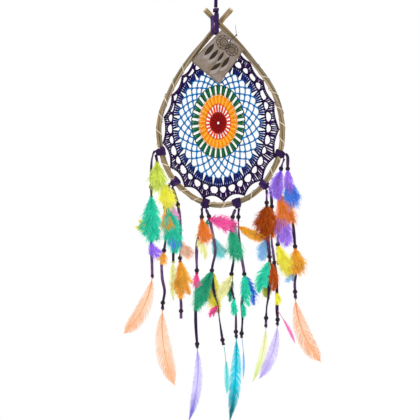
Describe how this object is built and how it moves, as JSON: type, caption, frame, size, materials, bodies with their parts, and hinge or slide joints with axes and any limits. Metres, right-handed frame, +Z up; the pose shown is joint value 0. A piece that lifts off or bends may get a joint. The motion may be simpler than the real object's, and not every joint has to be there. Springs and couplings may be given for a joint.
{
  "type": "dream_catcher",
  "caption": "Teardrop dream catcher: bound rattan hoop with a rainbow crochet web, card tag, and suede laces with wooden beads and dyed feathers on a hanging loop",
  "frame": {"origin": "Inside top of the hanging loop, where a hook or nail carries it.", "axes": "+Z up, the front faces -Y, +X to the right of someone facing the front."},
  "size_m": [0.3329, 0.0284, 0.7779],
  "materials": {
    "suede": "matte",
    "rattan": "natural",
    "bark": "natural",
    "bead_wood": "lacquered",
    "card": "matte",
    "string": "matte",
    "yarn_dark_red": "matte",
    "yarn_coral": "matte",
    "yarn_orange": "matte",
    "yarn_green": "matte",
    "yarn_blue": "matte",
    "yarn_navy": "matte",
    "yarn_purple": "matte",
    "feather_peach": "matte",
    "feather_lilac": "matte",
    "feather_teal": "matte",
    "feather_yellow": "matte",
    "feather_pink": "matte",
    "feather_orange": "matte",
    "feather_green": "matte",
    "feather_blue": "matte"
  },
  "bodies": {
    "loop": {"hanging_loop": "suede"},
    "hanger": {"hanging_knot": "suede"},
    "hoop": {"top_lashing": "suede", "rod_outer": "rattan", "rod_inner": "rattan", "rod_back": "rattan", "binding_strip": "bark", "suede_wraps": "suede", "web_centre": "yarn_dark_red", "web_red": "yarn_coral", "web_orange": "yarn_orange", "web_green": "yarn_green", "web_blue": "yarn_blue", "web_navy": "yarn_navy", "web_purple": "yarn_purple", "tag_string": "string"},
    "tag": {"tag_card": "card"},
    "strand_1": {"lace_1": "suede", "beads_1": "bead_wood", "feathers_1": "feather_yellow"},
    "strand_2": {"lace_2": "suede", "beads_2": "bead_wood", "feathers_2": "feather_orange"},
    "strand_3": {"lace_3": "suede", "beads_3": "bead_wood", "feathers_3": "feather_teal"},
    "strand_4": {"lace_4": "suede", "beads_4": "bead_wood", "feathers_4": "feather_orange"},
    "strand_5": {"lace_5": "suede", "beads_5": "bead_wood", "feathers_5": "feather_pink"},
    "strand_6": {"lace_6": "suede", "beads_6": "bead_wood", "feathers_6": "feather_green"},
    "strand_7": {"lace_7": "suede", "beads_7": "bead_wood", "feathers_7": "feather_green"},
    "strand_8": {"lace_8": "suede", "beads_8": "bead_wood", "feathers_8": "feather_blue"},
    "strand_9": {"lace_9": "suede", "beads_9": "bead_wood", "feathers_9": "feather_orange"},
    "strand_10": {"lace_10": "suede", "beads_10": "bead_wood", "feathers_10": "feather_lilac"},
    "strand_11": {"lace_11": "suede", "beads_11": "bead_wood", "feathers_11": "feather_pink"},
    "strand_12": {"lace_12": "suede", "beads_12": "bead_wood", "feathers_12": "feather_orange"},
    "long_feather_1": {"plume_1": "feather_peach"},
    "long_feather_2": {"plume_2": "feather_peach"},
    "long_feather_5": {"plume_5": "feather_lilac"},
    "long_feather_7": {"plume_7": "feather_teal"},
    "long_feather_9": {"plume_9": "feather_yellow"},
    "long_feather_10": {"plume_10": "feather_lilac"},
    "long_feather_12": {"plume_12": "feather_peach"}
  },
  "joints": [
    {"name": "hoop_swing", "type": "hinge", "parent": "loop", "child": "hanger", "pos_m": [0, 0, -0.0699], "axis": [1, 0, 0], "range_deg": [-30, 30]},
    {"name": "hoop_turn", "type": "hinge", "parent": "hanger", "child": "hoop", "pos_m": [0, 0, -0.0805], "axis": [0, 0, 1], "range_deg": [-180, 180]},
    {"name": "tag_flap", "type": "hinge", "parent": "hoop", "child": "tag", "pos_m": [0.02353, -0.01344, -0.12991], "axis": [0.766, 0, -0.6428], "range_deg": [-45, 0]},
    {"name": "strand_1_swing", "type": "hinge", "parent": "hoop", "child": "strand_1", "pos_m": [-0.10369, 0, -0.31538], "axis": [1, 0, 0], "range_deg": [-60, 60]},
    {"name": "strand_2_swing", "type": "hinge", "parent": "hoop", "child": "strand_2", "pos_m": [-0.10218, 0, -0.3217], "axis": [1, 0, 0], "range_deg": [-60, 60]},
    {"name": "strand_3_swing", "type": "hinge", "parent": "hoop", "child": "strand_3", "pos_m": [-0.07901, 0, -0.37112], "axis": [1, 0, 0], "range_deg": [-60, 60]},
    {"name": "strand_4_swing", "type": "hinge", "parent": "hoop", "child": "strand_4", "pos_m": [-0.07472, 0, -0.37665], "axis": [1, 0, 0], "range_deg": [-60, 60]},
    {"name": "strand_5_swing", "type": "hinge", "parent": "hoop", "child": "strand_5", "pos_m": [-0.02388, 0, -0.41267], "axis": [1, 0, 0], "range_deg": [-60, 60]},
    {"name": "strand_6_swing", "type": "hinge", "parent": "hoop", "child": "strand_6", "pos_m": [-0.01679, 0, -0.41479], "axis": [1, 0, 0], "range_deg": [-60, 60]},
    {"name": "strand_7_swing", "type": "hinge", "parent": "hoop", "child": "strand_7", "pos_m": [0.03307, 0, -0.4148], "axis": [1, 0, 0], "range_deg": [-60, 60]},
    {"name": "strand_8_swing", "type": "hinge", "parent": "hoop", "child": "strand_8", "pos_m": [0.03926, 0, -0.41281], "axis": [1, 0, 0], "range_deg": [-60, 60]},
    {"name": "strand_9_swing", "type": "hinge", "parent": "hoop", "child": "strand_9", "pos_m": [0.08639, 0, -0.38164], "axis": [1, 0, 0], "range_deg": [-60, 60]},
    {"name": "strand_10_swing", "type": "hinge", "parent": "hoop", "child": "strand_10", "pos_m": [0.09096, 0, -0.37634], "axis": [1, 0, 0], "range_deg": [-60, 60]},
    {"name": "strand_11_swing", "type": "hinge", "parent": "hoop", "child": "strand_11", "pos_m": [0.11629, 0, -0.3286], "axis": [1, 0, 0], "range_deg": [-60, 60]},
    {"name": "strand_12_swing", "type": "hinge", "parent": "hoop", "child": "strand_12", "pos_m": [0.11864, 0, -0.31991], "axis": [1, 0, 0], "range_deg": [-60, 60]},
    {"name": "long_feather_1_swing", "type": "hinge", "parent": "strand_1", "child": "long_feather_1", "pos_m": [-0.10819, 0, -0.53088], "axis": [1, 0, 0], "range_deg": [-45, 45]},
    {"name": "long_feather_2_swing", "type": "hinge", "parent": "strand_2", "child": "long_feather_2", "pos_m": [-0.09068, 0, -0.5852], "axis": [1, 0, 0], "range_deg": [-45, 45]},
    {"name": "long_feather_5_swing", "type": "hinge", "parent": "strand_5", "child": "long_feather_5", "pos_m": [-0.03188, 0, -0.65017], "axis": [1, 0, 0], "range_deg": [-45, 45]},
    {"name": "long_feather_7_swing", "type": "hinge", "parent": "strand_7", "child": "long_feather_7", "pos_m": [0.03457, 0, -0.6333], "axis": [1, 0, 0], "range_deg": [-45, 45]},
    {"name": "long_feather_9_swing", "type": "hinge", "parent": "strand_9", "child": "long_feather_9", "pos_m": [0.08489, 0, -0.61514], "axis": [1, 0, 0], "range_deg": [-45, 45]},
    {"name": "long_feather_10_swing", "type": "hinge", "parent": "strand_10", "child": "long_feather_10", "pos_m": [0.10446, 0, -0.61184], "axis": [1, 0, 0], "range_deg": [-45, 45]},
    {"name": "long_feather_12_swing", "type": "hinge", "parent": "strand_12", "child": "long_feather_12", "pos_m": [0.13514, 0, -0.56641], "axis": [1, 0, 0], "range_deg": [-45, 45]}
  ]
}
